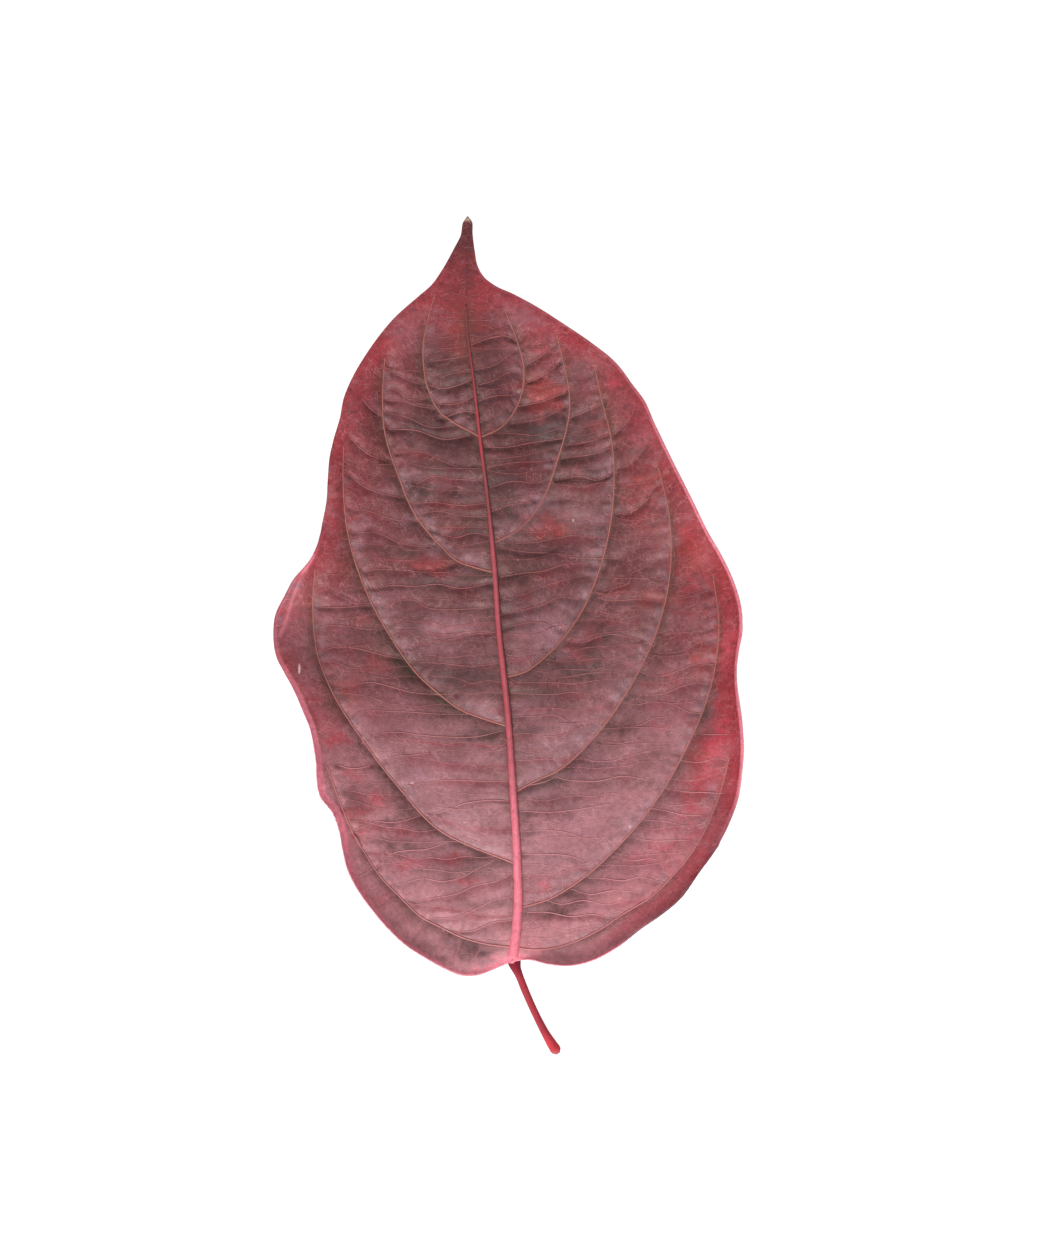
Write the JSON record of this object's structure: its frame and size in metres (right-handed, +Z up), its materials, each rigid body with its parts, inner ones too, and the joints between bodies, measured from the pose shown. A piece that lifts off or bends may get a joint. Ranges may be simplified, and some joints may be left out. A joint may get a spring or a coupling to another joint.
{
  "type": "autumn leaf",
  "caption": "Fallen autumn leaf with an egg-shaped blade, drawn-out tip, arching side veins, curled margin and short stalk, for scattering on ground or tables.",
  "frame": {"origin": "centre of the leaf's bounding box, on the surface that it lies on", "axes": "+Z up out of the leaf's upper face, +Y from the stalk towards the tip, +X to the right as the picture shows it"},
  "size_m": [0.0625, 0.1126, 0.0082],
  "materials": {
    "leaf": "satin"
  },
  "bodies": {
    "root": {"leaf": "leaf"}
  },
  "joints": []
}
